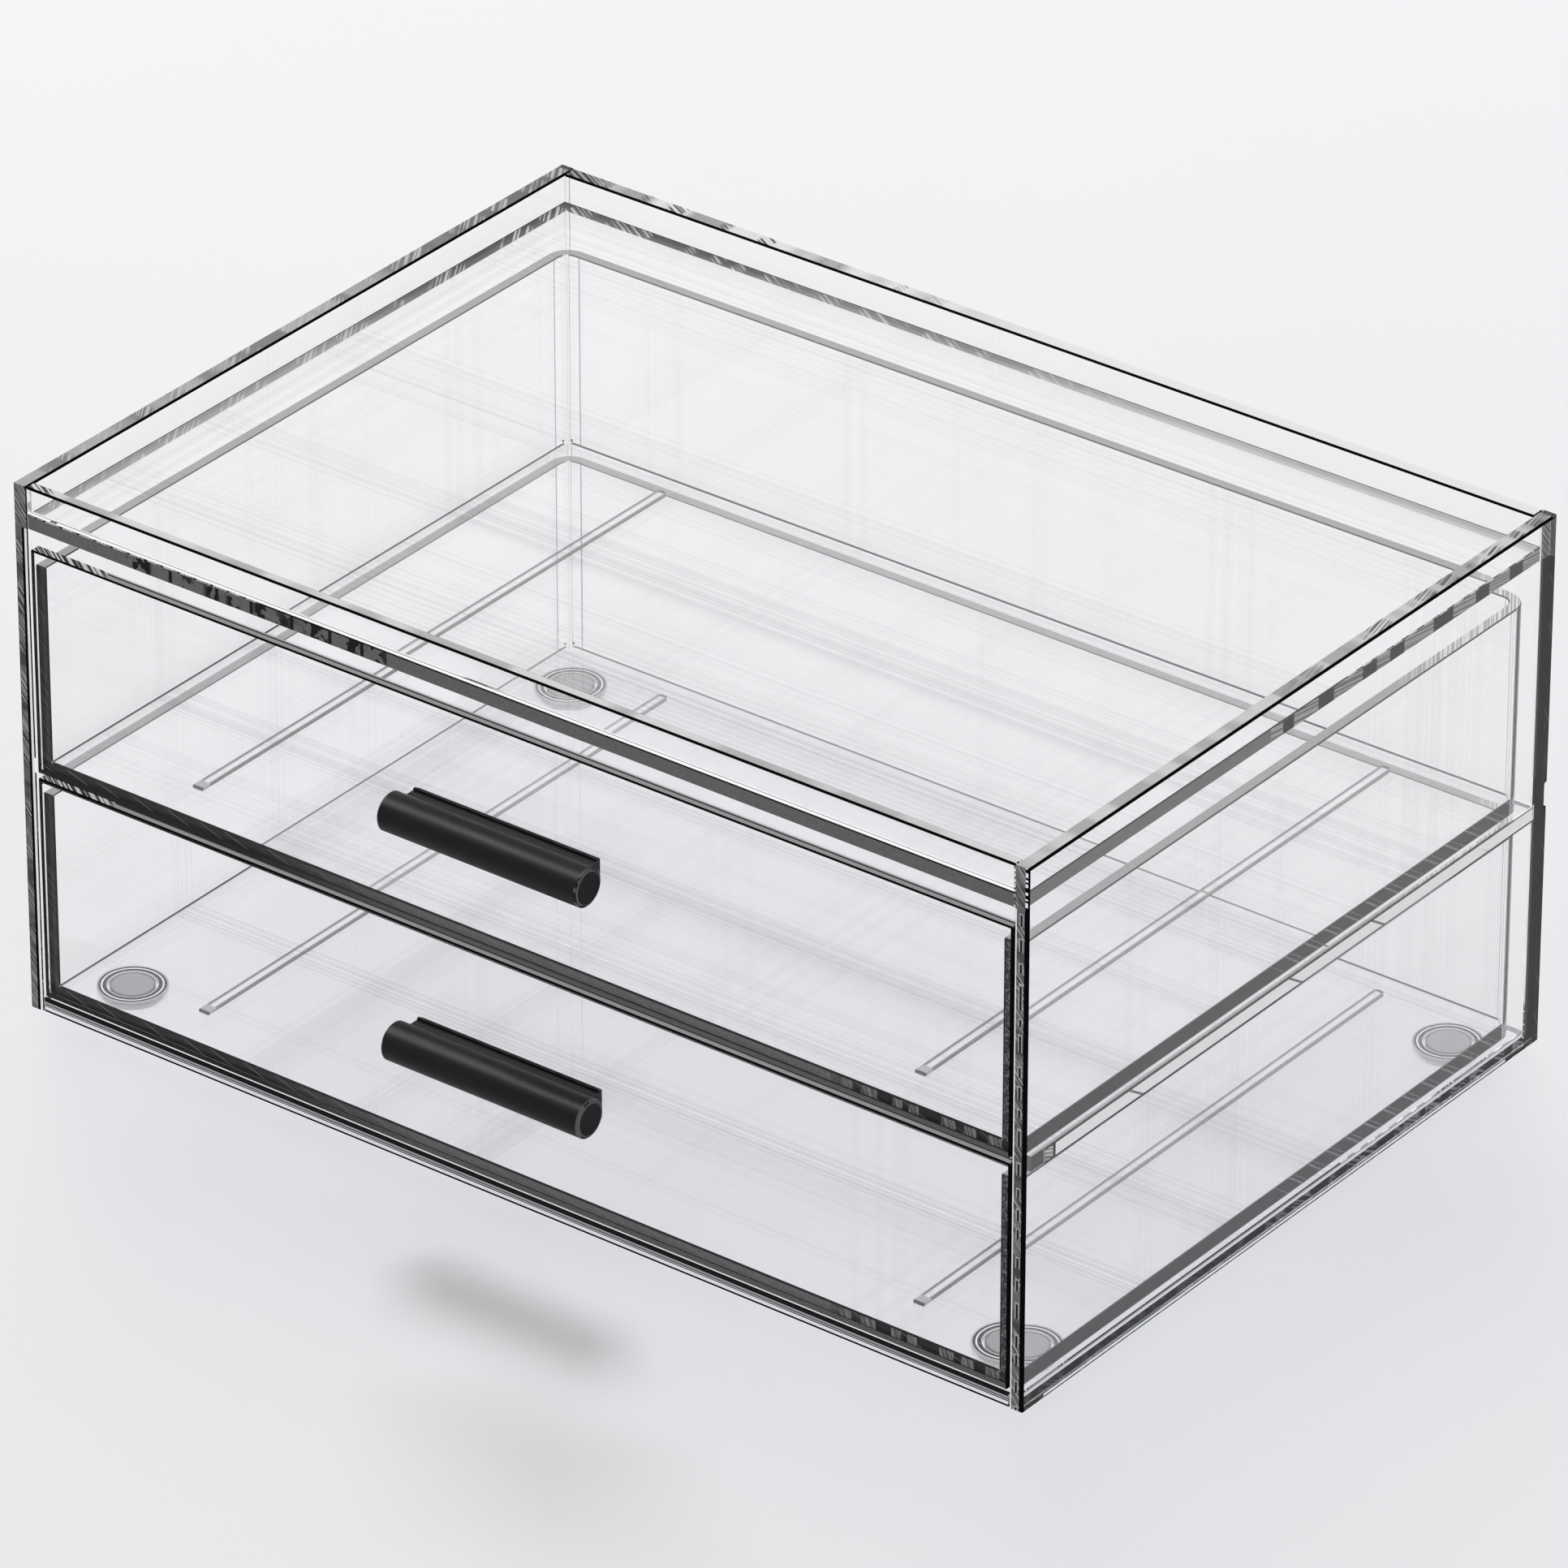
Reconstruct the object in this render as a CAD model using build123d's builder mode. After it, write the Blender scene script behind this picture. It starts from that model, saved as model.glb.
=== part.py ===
"""Clear two-drawer desktop organiser: bonded sheet case, two pull-out trays, bar handles.

Millimetres. +Z is up, +X is to the right, the drawers open towards -Y.
The origin is on the ground under the middle of the overall footprint.
"""

import os

from build123d import *

os.makedirs("parts", exist_ok=True)

# Case
case_width = 300.0
case_depth = 210.0
case_height = 145.0
case_sheet = 4.0
rim_sheet = 3.0
arris = 0.25  # broken edge on every cut sheet
cement_line = 0.05  # gap that the clear cement fills between two sheets
tray_rim_height = 7.4  # rim that stands above the top panel

# Shelf and the shallow stopped grooves that it is bonded into
shelf_setback = 4.0
groove_lead = 5.0  # distance from the shelf's front edge to the groove's closed end
groove_depth = 1.0
groove_fit = 0.05  # play above, below and at the bottom of the groove

# Locating notch in the rear edge of each side wall
notch_depth = 1.0
notch_height = 6.8
notch_rise = 2.2  # notch centre above the shelf's top face
notch_corner_radius = 0.4

# Feet
foot_radius = 8.85
foot_height = 2.4
foot_edge_bevel = 0.6
foot_wall = 2.65  # around the pocket for the adhesive disc
foot_pocket_depth = 1.0
foot_pad_play = 0.6
foot_inset_side = 17.3
foot_inset_end = 19.3

# Drawers
drawer_sheet = 3.0
head_room = 4.4  # extra height over the upper drawer
front_gap = 1.5  # between the two drawer fronts
front_side_gap = 0.7
front_drop = 0.3  # the front hangs this far below the tray's underside
tray_side_gap = 1.0
tray_head_gap = 1.38
tray_rear_gap = 1.8
tray_corner_radius = 6.0

# Slide strips under each tray
strip_width = 3.0
strip_thickness = 0.8
strip_inset_side = 36.8
strip_inset_front = 17.0
strip_inset_rear = 7.2
slide_gap = 0.02

# Handles
bar_radius = 5.0
bar_length = 59.0
bar_standoff = 7.75
bar_edge_bevel = 0.3
handle_rise = 3.2  # bar axis above the middle of the drawer front
rail_inset = 2.1  # from the end of the bar to the end of the rail
rail_height = 7.8
rail_lip = 0.5  # plate above and below the web
rail_plate_thickness = 1.0
rail_edge = 0.2
seat_fit = 0.03
tape_thickness = 0.5
tape_margin = 0.4
cap_rim = 0.6  # bar wall left around an end cap
cap_thickness = 1.0
cap_crown = 0.15
cap_fit = 0.06
screw_radius = 1.5
screw_length = 8.0
screw_spacing = 36.0
screw_head_radius = 2.8
screw_socket_radius = 1.15
screw_socket_depth = 0.9
screw_fit = 0.03
screw_clearance = 0.2

# Sizes that follow from the ones above
clear_height = case_height - tray_rim_height - 2 * case_sheet
drawer_pitch = (clear_height - head_room) / 2
front_height = drawer_pitch - front_gap
tray_height = drawer_pitch - case_sheet - slide_gap - strip_thickness - tray_head_gap
groove_height = case_sheet + 2 * groove_fit
foot_pocket_radius = foot_radius - foot_wall
foot_pad_radius = foot_pocket_radius - foot_pad_play
rail_length = bar_length - 2 * rail_inset
rail_web_height = rail_height - 2 * rail_lip
cap_radius = bar_radius - cap_rim
handle_projection = bar_standoff + bar_radius

# Positions that follow from the sizes
front_y = -(case_depth - handle_projection) / 2
back_y = front_y + case_depth
inner_back_y = back_y - case_sheet
tray_front = front_y + drawer_sheet + cement_line
tray_back = inner_back_y - tray_rear_gap
strip_front = front_y + strip_inset_front
strip_back = tray_back - strip_inset_rear
plate_back = front_y - tape_thickness
plate_front = plate_back - rail_plate_thickness
bar_y = front_y - bar_standoff
case_base = foot_height
case_top = case_base + case_height
floor_top = case_base + case_sheet
shelf_top = floor_top + drawer_pitch
shelf_base = shelf_top - case_sheet
top_panel_top = case_top - tray_rim_height
top_panel_base = top_panel_top - case_sheet
notch_z = shelf_top + notch_rise
inner_half_width = case_width / 2 - case_sheet
tray_half_width = inner_half_width - tray_side_gap
bonded_width = 2 * (inner_half_width - cement_line)
sheet_depth = inner_back_y - cement_line - front_y


def save(builder, label):
    """Names a finished piece and writes it."""
    builder.part.label = label
    export_step(builder.part, f"parts/{label}.step")


def flat_sheet(width, depth, thickness, front, base):
    """Cut sheet that lies flat, centred in X, with broken edges."""
    with BuildPart() as sheet:
        with BuildSketch(Plane.XY.offset(base)):
            with Locations((0, front + depth / 2)):
                Rectangle(width, depth)
        extrude(amount=thickness)
        chamfer(sheet.edges(), length=arris)
    return sheet


def side_wall(side):
    """Side wall with the stopped shelf groove on its inner face and a notch in its rear edge."""
    outer_x = side * case_width / 2
    inner_x = side * inner_half_width
    groove_front = front_y + shelf_setback + groove_lead
    groove_length = inner_back_y - groove_front
    wall_plane = Plane.YZ.offset(min(outer_x, inner_x))
    with BuildPart() as wall:
        with BuildSketch(wall_plane):
            with Locations(((front_y + back_y) / 2, (case_base + case_top) / 2)):
                Rectangle(case_depth, case_height)
        extrude(amount=case_sheet)
        with BuildSketch(wall_plane):
            with Locations((back_y, notch_z)):
                Rectangle(2 * notch_depth, notch_height)
        extrude(amount=case_sheet, mode=Mode.SUBTRACT)
        notch_edges = wall.edges().filter_by(Axis.X).filter_by_position(
            Axis.Z, notch_z - notch_height, notch_z + notch_height
        )
        notch_corners = notch_edges.filter_by_position(
            Axis.Y, back_y - notch_depth - arris, back_y - notch_depth + arris
        )
        fillet(notch_corners, radius=notch_corner_radius)
        rim = wall.faces().filter_by(Axis.X).edges()
        chamfer(rim, length=arris)
        with BuildSketch(Plane.YZ.offset(inner_x)):
            with Locations((groove_front + groove_length / 2, (shelf_base + shelf_top) / 2)):
                Rectangle(groove_length, groove_height)
        extrude(amount=side * groove_depth, mode=Mode.SUBTRACT)
    return wall


def back_panel():
    """Upright back panel between the side walls, grooved for the shelf's rear edge."""
    with BuildPart() as panel:
        with BuildSketch(Plane.XZ.offset(-back_y)):
            with Locations((0, (case_base + case_top) / 2)):
                Rectangle(bonded_width, case_height)
        extrude(amount=case_sheet)
        chamfer(panel.edges(), length=arris)
        with BuildSketch(Plane.XZ.offset(-inner_back_y)):
            with Locations((0, (shelf_base + shelf_top) / 2)):
                Rectangle(bonded_width, groove_height)
        extrude(amount=-groove_depth, mode=Mode.SUBTRACT)
    return panel


def mid_shelf():
    """Shelf with long side tongues and a rear tongue that enter the grooves."""
    tongue = groove_depth - groove_fit
    shelf_front = front_y + shelf_setback
    shelf_back = inner_back_y + tongue
    wide_front = shelf_front + groove_lead + groove_fit
    wide_width = 2 * (inner_half_width + tongue)
    rear_width = bonded_width - 2 * groove_fit
    with BuildPart() as shelf:
        with BuildSketch(Plane.XY.offset(shelf_base)):
            with Locations((0, (shelf_front + shelf_back) / 2)):
                Rectangle(rear_width, shelf_back - shelf_front)
            with Locations((0, (wide_front + inner_back_y - cement_line) / 2)):
                Rectangle(wide_width, inner_back_y - cement_line - wide_front)
        extrude(amount=case_sheet)
        front_edges = shelf.faces().sort_by(Axis.Y)[0].edges().filter_by(Axis.X)
        chamfer(front_edges, length=arris)
    return shelf


def rim_strip():
    """Front strip that closes the open-topped tray above the top panel."""
    base = top_panel_top + cement_line
    with BuildPart() as strip:
        with BuildSketch(Plane.XZ.offset(-front_y)):
            with Locations((0, (base + case_top) / 2)):
                Rectangle(bonded_width, case_top - base)
        extrude(amount=-rim_sheet)
        chamfer(strip.edges(), length=arris)
    return strip


def foot(x, y):
    """Round bumper with a bevelled lower edge and a pocket in its top for the adhesive disc."""
    with BuildPart() as bumper:
        with BuildSketch(Plane.XY):
            with Locations((x, y)):
                Circle(foot_radius)
        extrude(amount=foot_height)
        chamfer(bumper.edges().group_by(Axis.Z)[0], length=foot_edge_bevel)
        with BuildSketch(Plane.XY.offset(foot_height)):
            with Locations((x, y)):
                Circle(foot_pocket_radius)
        extrude(amount=-foot_pocket_depth, mode=Mode.SUBTRACT)
    return bumper


def foot_pad(x, y):
    """Adhesive disc between a bumper and the case."""
    with BuildPart() as pad:
        with BuildSketch(Plane.XY.offset(foot_height - foot_pocket_depth)):
            with Locations((x, y)):
                Circle(foot_pad_radius)
        extrude(amount=foot_pocket_depth)
    return pad


def drawer_front(base):
    """Drawer front, a little taller and wider than the tray behind it."""
    width = 2 * (inner_half_width - front_side_gap)
    with BuildPart() as panel:
        with BuildSketch(Plane.XZ.offset(-front_y)):
            with Locations((0, base + front_height / 2)):
                Rectangle(width, front_height)
        extrude(amount=-drawer_sheet)
        chamfer(panel.edges(), length=arris)
    return panel


def drawer_tray(base):
    """Tray that is open at the front and top, with its wall bent round the two rear corners."""
    length = tray_back - tray_front
    mid_y = (tray_front + tray_back) / 2
    with BuildPart() as tray:
        with BuildSketch(Plane.XY.offset(base)) as outline:
            with Locations((0, mid_y)):
                Rectangle(2 * tray_half_width, length)
            fillet(outline.vertices().group_by(Axis.Y)[-1], radius=tray_corner_radius)
        extrude(amount=tray_height)
        with BuildSketch(Plane.XY.offset(base + drawer_sheet)) as inside:
            with Locations((0, mid_y - drawer_sheet)):
                Rectangle(2 * (tray_half_width - drawer_sheet), length)
            fillet(inside.vertices().group_by(Axis.Y)[-1], radius=tray_corner_radius - drawer_sheet)
        extrude(amount=tray_height - drawer_sheet, mode=Mode.SUBTRACT)
        top_edges = tray.faces().sort_by(Axis.Z)[-1].edges()
        chamfer(top_edges - top_edges.group_by(Axis.Y)[0], length=arris)
    return tray


def slide_strip(side, base):
    """Flat strip bonded under a tray, square in front and rounded behind."""
    strip_x = side * (tray_half_width - strip_inset_side)
    with BuildPart() as strip:
        with BuildSketch(Plane.XY.offset(base)) as outline:
            with Locations((strip_x, (strip_front + strip_back) / 2)):
                Rectangle(strip_width, strip_back - strip_front)
            fillet(outline.vertices().group_by(Axis.Y)[-1], radius=strip_width / 2 - arris)
        extrude(amount=strip_thickness - cement_line)
    return strip


def handle_bar(axis_z):
    """Round bar with recessed ends for the caps and two tapped holes behind."""
    half = bar_length / 2
    hole_end = plate_back - screw_length - screw_clearance
    with BuildPart() as bar:
        with BuildSketch(Plane.YZ.offset(-half)):
            with Locations((bar_y, axis_z)):
                Circle(bar_radius)
        extrude(amount=bar_length)
        chamfer(bar.edges(), length=bar_edge_bevel)
        for side in (-1, 1):
            with BuildSketch(Plane.YZ.offset(side * half)):
                with Locations((bar_y, axis_z)):
                    Circle(cap_radius + cap_fit)
            extrude(amount=-side * cap_thickness, mode=Mode.SUBTRACT)
        with BuildSketch(Plane.XZ.offset(-hole_end)):
            with Locations((-screw_spacing / 2, axis_z), (screw_spacing / 2, axis_z)):
                Circle(screw_radius + screw_fit)
        extrude(amount=hole_end - front_y, mode=Mode.SUBTRACT)
    return bar


def handle_rail(axis_z):
    """Mounting rail: a thin back plate and a web with a round seat for the bar."""
    web_depth = plate_front - bar_y
    with BuildPart() as rail:
        with BuildSketch(Plane.YZ.offset(-rail_length / 2)):
            with Locations(((plate_back + plate_front) / 2, axis_z)):
                Rectangle(rail_plate_thickness, rail_height)
            with Locations((plate_front - web_depth / 2, axis_z)):
                Rectangle(web_depth, rail_web_height)
            with Locations((bar_y, axis_z)):
                Circle(bar_radius + seat_fit, mode=Mode.SUBTRACT)
        extrude(amount=rail_length)
        plate_rim = rail.faces().sort_by(Axis.Y)[-1].edges()
        chamfer(plate_rim, length=rail_edge)
        for x in (-screw_spacing / 2, screw_spacing / 2):
            with Locations(Plane((x, plate_back, axis_z), x_dir=(1, 0, 0), z_dir=(0, 1, 0))):
                CounterSinkHole(
                    radius=screw_radius + screw_clearance,
                    counter_sink_radius=screw_head_radius + screw_clearance,
                    depth=bar_standoff,
                )
    return rail


def handle_tape(axis_z):
    """Adhesive pad between the rail and the drawer front."""
    with BuildPart() as tape:
        with BuildSketch(Plane.XZ.offset(-front_y)):
            with Locations((0, axis_z)):
                Rectangle(rail_length - 2 * tape_margin, rail_height - 2 * tape_margin)
        extrude(amount=tape_thickness)
    return tape


def handle_cap(side, axis_z):
    """End disc that lies in the bar's recess, a little proud of its rim."""
    end_x = side * bar_length / 2
    with BuildPart() as cap:
        with BuildSketch(Plane.YZ.offset(end_x + side * cap_crown)):
            with Locations((bar_y, axis_z)):
                Circle(cap_radius)
        extrude(amount=-side * (cap_thickness + cap_crown - cap_fit))
        crown_edge = cap.edges().sort_by(Axis.X)[-1 if side > 0 else 0]
        chamfer(crown_edge, length=bar_edge_bevel)
    return cap


def handle_screws(axis_z):
    """Two countersunk socket screws that hold the rail to the bar from behind."""
    head_y = plate_back - screw_fit
    cone_height = screw_head_radius - screw_radius
    with BuildPart() as screws:
        for x in (-screw_spacing / 2, screw_spacing / 2):
            with BuildSketch(Plane((x, 0, axis_z), x_dir=(1, 0, 0), z_dir=(0, 0, 1))):
                with BuildLine():
                    Polyline(
                        (0, head_y),
                        (screw_head_radius, head_y),
                        (screw_radius, head_y - cone_height),
                        (screw_radius, head_y - screw_length),
                        (0, head_y - screw_length),
                        close=True,
                    )
                make_face()
            revolve(axis=Axis((x, 0, axis_z), (0, 1, 0)))
            with BuildSketch(Plane((x, head_y, axis_z), x_dir=(1, 0, 0), z_dir=(0, 1, 0))):
                RegularPolygon(screw_socket_radius, 6)
            extrude(amount=-screw_socket_depth, mode=Mode.SUBTRACT)
    return screws


# Case
save(side_wall(-1), "case_left_side")
save(side_wall(1), "case_right_side")
save(back_panel(), "case_back_panel")
save(flat_sheet(bonded_width, sheet_depth, case_sheet, front_y, case_base), "case_floor_panel")
save(flat_sheet(bonded_width, sheet_depth, case_sheet, front_y, top_panel_base), "case_top_panel")
save(mid_shelf(), "case_mid_shelf")
save(rim_strip(), "case_front_rim")

# Feet
foot_x = case_width / 2 - foot_inset_side
foot_rows = (("front", front_y + foot_inset_end), ("rear", back_y - foot_inset_end))
for row_name, foot_y in foot_rows:
    for side_name, x in (("left", -foot_x), ("right", foot_x)):
        save(foot(x, foot_y), f"foot_{row_name}_{side_name}")
        save(foot_pad(x, foot_y), f"foot_pad_{row_name}_{side_name}")

# Drawers
for name, support_z in (("lower", floor_top), ("upper", shelf_top)):
    strip_base = support_z + slide_gap
    tray_base = strip_base + strip_thickness
    front_base = tray_base - front_drop
    handle_z = front_base + front_height / 2 + handle_rise
    save(drawer_front(front_base), f"{name}_drawer_front")
    save(drawer_tray(tray_base), f"{name}_drawer_tray")
    save(slide_strip(-1, strip_base), f"{name}_slide_strip_left")
    save(slide_strip(1, strip_base), f"{name}_slide_strip_right")
    save(handle_bar(handle_z), f"{name}_handle_bar")
    save(handle_rail(handle_z), f"{name}_handle_rail")
    save(handle_tape(handle_z), f"{name}_handle_tape")
    save(handle_cap(-1, handle_z), f"{name}_handle_cap_left")
    save(handle_cap(1, handle_z), f"{name}_handle_cap_right")
    save(handle_screws(handle_z), f"{name}_handle_screws")
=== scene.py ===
"""Clear two-drawer desktop organiser in plain studio light."""
import math

import bpy
from mathutils import Matrix, Vector


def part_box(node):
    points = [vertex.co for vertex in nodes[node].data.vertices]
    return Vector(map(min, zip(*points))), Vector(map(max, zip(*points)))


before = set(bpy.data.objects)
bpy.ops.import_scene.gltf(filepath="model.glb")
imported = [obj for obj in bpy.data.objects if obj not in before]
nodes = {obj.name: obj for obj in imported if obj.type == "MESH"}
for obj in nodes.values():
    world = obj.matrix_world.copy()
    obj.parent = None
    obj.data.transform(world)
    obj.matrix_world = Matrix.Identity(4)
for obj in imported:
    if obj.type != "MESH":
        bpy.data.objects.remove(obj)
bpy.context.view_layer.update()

MM = 0.001
X, Y, Z = 0, 1, 2

# Camera, in the model's frame: metres, degrees, and millimetres of lens and sensor
CAMERA_AT = (1.52542, -1.987915, 1.51072)
CAMERA_AZIMUTH = 37.407
CAMERA_ELEVATION = 29.859
CAMERA_ROLL = 0.045
CAMERA_LENS = 276.79
SENSOR = 36.0

# Clear sheet
ACRYLIC_IOR = 1.49
MIRROR = (0.10, 0.10, 0.10)  # how much of its straight-on reflection the sheet keeps
CLEAR = (0.997, 0.997, 0.998)
# Grey of the painted reflections: faint lines that reflections between the sheets leave
REFLECTION_GREY = (0.78, 0.78, 0.79)
LAMP_TINT = (0.981, 0.982, 0.985)  # what one surface leaves of a lamp's light
EDGE_ROUGHNESS = 0.4
BLUER = 1.03  # how much bluer than grey a sawn edge is
FLAT = 0.95  # a normal's component above which a face looks along that axis
SKIN = 0.6 * MM  # how far from a piece's end a face may lie and still be that end

# Greys of the sawn edges, as the photograph shows them
# BLACK, DARK and WHITE are mostly painted shade and painted light: what reflections inside a clear
# sheet make of its edges
BLACK = 0.004
DARK = 0.016
SLATE = 0.075
MIDDLE = 0.15
PALE = 0.42
WHITE = 0.95

# Faint lines of painted reflection in the clear sheet: their strength by axis and by how the face
# lies
LINE_PITCH = 2.4 * MM
LINE_NOISE = (0.50, 0.58)  # where the noise starts a line, and where the line is full
CLUSTER_PITCH = 30 * MM
CLUSTER_NOISE = (0.52, 0.60)
PIECE_STEP = 7  # how far the lines move for each metre that a piece starts higher
SHORT_SIDE = 20 * MM  # a side shorter than this has no lines across it
LINES = 0.20
LINES_UPRIGHT = 0.25
LINES_LYING = 0.90

# How far the noise strays from one half, and how soft the edges cut from it are
HATCH_SPREAD = 0.28
HATCH_SOFTNESS = 0.02
PATCH_SPREAD = 0.3
PATCH_SOFTNESS = 0.05

# Opaque pieces
SATIN = 0.12  # how strongly the black and frosted pieces and the floor shine
METAL_SHINE = 0.5
GRAIN_ROUGHNESS = 0.05  # how far the grain moves the roughness either way
GRAIN_HEIGHT = 0.02 * MM
BRUSHED = (0.08, 1, 1)  # grain drawn out along X

# Light is bounced often enough for a sight line through every sheet
MOST_BOUNCES = 28
MOST_CLEAR_HITS = 48
SKY = (0.985, 0.985, 1.0, 1)

# A Mix node's sockets for its share, first and second value
MIX_NUMBERS = (0, 2, 3)
MIX_COLOURS = (0, 6, 7)

# Sizes of the object that the finishes follow
TOP_PANEL_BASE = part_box("case_top_panel")[0].z
TRAY_SHEET = 3 * MM
TRAY_BEND = 6 * MM

# Slots on the right wall's front: share of each period, start and stop in millimetres
# from the outer face, and grey
WALL_SLOTS = ((0.55, 1.5, 2.7, PALE), (0.48, 1.8, 2.4, DARK))

# Bands of painted light and painted shade on the floor panel's edges: start and stop as a share of
# its thickness, and grey
FLOOR_FRONT_BANDS = ((0.18, 0.40, WHITE), (0.47, 0.55, 0.50), (0.61, 0.74, PALE))
FLOOR_SIDE_BANDS = ((0.64, 0.78, WHITE), (0.78, 0.90, 0.60), (0.94, 1.0, SLATE))

# Stretch of a shelf, drawer front or tray, from its left end, over which it turns paler
PALER = {"low": 0.20, "high": 0.45}


class Nodes:
    """A material's node tree, with short calls for the nodes that this scene uses."""

    def __init__(self, name):
        self.material = bpy.data.materials.new(name)
        self.material.use_nodes = True
        self.tree = self.material.node_tree
        self.tree.nodes.clear()
        self.place = self.add("ShaderNodeTexCoord").outputs["Object"]
        self.at = self.split(self.place)

    def add(self, kind, **settings):
        node = self.tree.nodes.new(kind)
        for key, value in settings.items():
            setattr(node, key, value)
        return node

    def put(self, value, socket):
        """Links a value into a socket where it is a node's output, and sets it otherwise."""
        if isinstance(value, bpy.types.NodeSocket):
            self.tree.links.new(value, socket)
        elif isinstance(value, tuple) and len(value) == 3 and socket.type == "RGBA":
            socket.default_value = (*value, 1)
        else:
            socket.default_value = value

    def split(self, vector):
        node = self.add("ShaderNodeSeparateXYZ")
        self.put(vector, node.inputs[0])
        return node.outputs[0], node.outputs[1], node.outputs[2]

    def math(self, operation, *values):
        node = self.add("ShaderNodeMath", operation=operation)
        for value, socket in zip(values, node.inputs):
            self.put(value, socket)
        return node.outputs[0]

    def both(self, *masks):
        """The product of the masks: 1 where each of them is 1."""
        found = masks[0]
        for mask in masks[1:]:
            found = self.math("MULTIPLY", found, mask)
        return found

    def either(self, first, second):
        return self.math("MAXIMUM", first, second)

    def above(self, value, limit):
        return self.math("GREATER_THAN", value, limit)

    def below(self, value, limit):
        return self.math("LESS_THAN", value, limit)

    def between(self, value, low, high):
        return self.both(self.above(value, low), self.below(value, high))

    def near(self, axis, at, reach):
        """1 within this reach of a plane across an axis."""
        return self.math("COMPARE", self.at[axis], at, reach)

    def ease(self, value, low, high):
        """0 at low, 1 at high, smooth between them."""
        node = self.add("ShaderNodeMapRange", interpolation_type="SMOOTHSTEP")
        for part, socket in zip((value, low, high), node.inputs):
            self.put(part, socket)
        return node.outputs[0]

    def mix(self, kind, sockets, *parts):
        node = self.add("ShaderNodeMix", data_type=kind)
        for part, socket in zip(parts, sockets):
            self.put(part, node.inputs[socket])
        return node

    def blend(self, share, first, second):
        """first where share is 0, second where it is 1, for numbers."""
        return self.mix("FLOAT", MIX_NUMBERS, share, first, second).outputs[0]

    def tint(self, share, first, second):
        """first where share is 0, second where it is 1, for colours."""
        return self.mix("RGBA", MIX_COLOURS, share, first, second).outputs[2]

    def noise_1d(self, along, pitch, detail=1.0):
        node = self.add("ShaderNodeTexNoise", noise_dimensions="1D")
        self.put(self.math("DIVIDE", along, pitch), node.inputs["W"])
        node.inputs["Scale"].default_value = 1.0
        node.inputs["Detail"].default_value = detail
        return node.outputs["Fac"]

    def noise_3d(self, scale, detail=3.0, stretch=(1, 1, 1)):
        node = self.add("ShaderNodeTexNoise")
        mapping = self.add("ShaderNodeMapping")
        self.put(self.place, mapping.inputs["Vector"])
        mapping.inputs["Scale"].default_value = stretch
        self.put(mapping.outputs[0], node.inputs["Vector"])
        node.inputs["Scale"].default_value = scale
        node.inputs["Detail"].default_value = detail
        return node.outputs["Fac"]

    def cut(self, noise, share, spread, softness):
        """1 on this share of a noise, 0 on the rest."""
        threshold = 0.5 + spread * (0.5 - share)
        return self.ease(noise, threshold - softness, threshold + softness)

    def slant(self, along, across, lean):
        return self.math("ADD", along, self.math("MULTIPLY", across, lean))

    def hatch(self, along, across, pitch, lean, share=0.5):
        """Saw marks as leaning bars, 1 on this share of them."""
        noise = self.noise_1d(self.slant(along, across, lean), pitch)
        return self.cut(noise, share, HATCH_SPREAD, HATCH_SOFTNESS)

    def patches(self, along, pitch, share=0.5):
        """Long stretches of an edge that are 1, with soft ends."""
        return self.cut(self.noise_1d(along, pitch), share, PATCH_SPREAD, PATCH_SOFTNESS)

    def scratches(self, along, across, pitch, lean, width):
        """Single leaning hairlines, about one in each pitch."""
        node = self.add(
            "ShaderNodeTexVoronoi", voronoi_dimensions="1D", feature="DISTANCE_TO_EDGE"
        )
        self.put(self.math("DIVIDE", self.slant(along, across, lean), pitch), node.inputs["W"])
        node.inputs["Scale"].default_value = 1.0
        return self.below(node.outputs["Distance"], width / pitch)

    def blocks(self, along, period, share):
        """Square-cut blocks that repeat along an edge, each a little off its place."""
        wander_pitch = 2.2 * period
        wander = 1.5 * period
        shift = self.math("MULTIPLY", self.noise_1d(along, wander_pitch), wander)
        turn = self.math("FRACT", self.math("DIVIDE", self.math("ADD", along, shift), period))
        return self.below(turn, share)


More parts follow.
